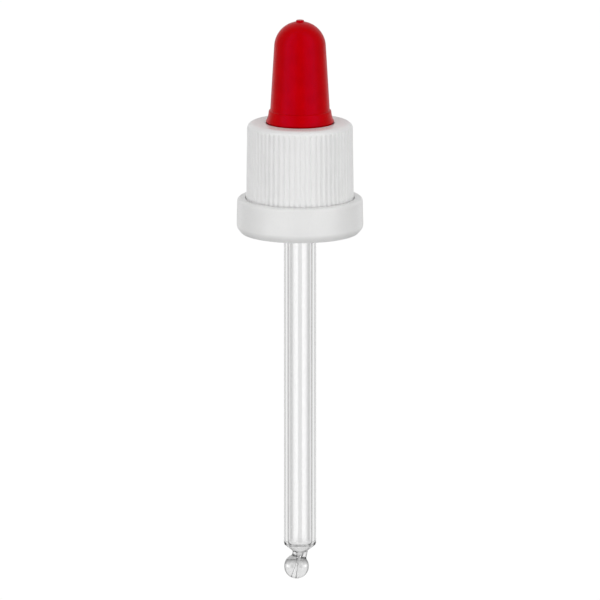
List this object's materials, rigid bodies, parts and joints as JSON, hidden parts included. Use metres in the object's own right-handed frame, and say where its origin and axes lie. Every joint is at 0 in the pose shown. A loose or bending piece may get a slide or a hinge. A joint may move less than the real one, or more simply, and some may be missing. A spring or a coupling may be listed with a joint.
{
  "type": "medicine dropper closure",
  "caption": "Rubber-bulb medicine dropper: ribbed screw cap with tamper-evident ring, squeezable teat and a glass pipette with a bent ball tip.",
  "frame": {"origin": "on the axis, in the sealing plane: the underside of the teat's flange, which lies on the bottle's lip", "axes": "+Z along the axis, out of the bottle towards the top of the teat; the pipette's bent tip leans towards -X"},
  "size_m": [0.0274, 0.0274, 0.1236],
  "materials": {
    "white_polypropylene": "white moulded polypropylene with a soft satin surface",
    "red_rubber": "red moulded rubber, silky matt",
    "clear_glass": "clear drawn glass, fire polished"
  },
  "bodies": {
    "cap": {"cap": "white_polypropylene"},
    "tamper_ring": {"tamper_ring": "white_polypropylene", "tamper_bridges": "white_polypropylene"},
    "teat": {"teat": "red_rubber"},
    "teat_wall_left": {"teat_wall_left": "red_rubber"},
    "teat_wall_right": {"teat_wall_right": "red_rubber"},
    "pipette": {"pipette": "clear_glass"}
  },
  "joints": [
    {"name": "ring_slide", "type": "slide", "parent": "cap", "child": "tamper_ring", "axis": [0, 0, -1], "range_m": [0, 0.09]},
    {"name": "teat_swivel", "type": "hinge", "parent": "cap", "child": "teat", "pos_m": [0, 0, 0], "axis": [0, 0, 1], "continuous": true},
    {"name": "squeeze_left", "type": "slide", "parent": "teat", "child": "teat_wall_left", "axis": [1, 0, 0], "range_m": [0, 0.0023], "stiffness_N_per_m": 400},
    {"name": "squeeze_right", "type": "slide", "parent": "teat", "child": "teat_wall_right", "axis": [-1, 0, 0], "range_m": [0, 0.0023], "stiffness_N_per_m": 400},
    {"name": "pipette_slide", "type": "slide", "parent": "teat", "child": "pipette", "axis": [0, 0, -1], "range_m": [0, 0.03]}
  ],
  "couplings": [
    {"joint": "squeeze_right", "follows": "squeeze_left", "ratio": 1}
  ]
}
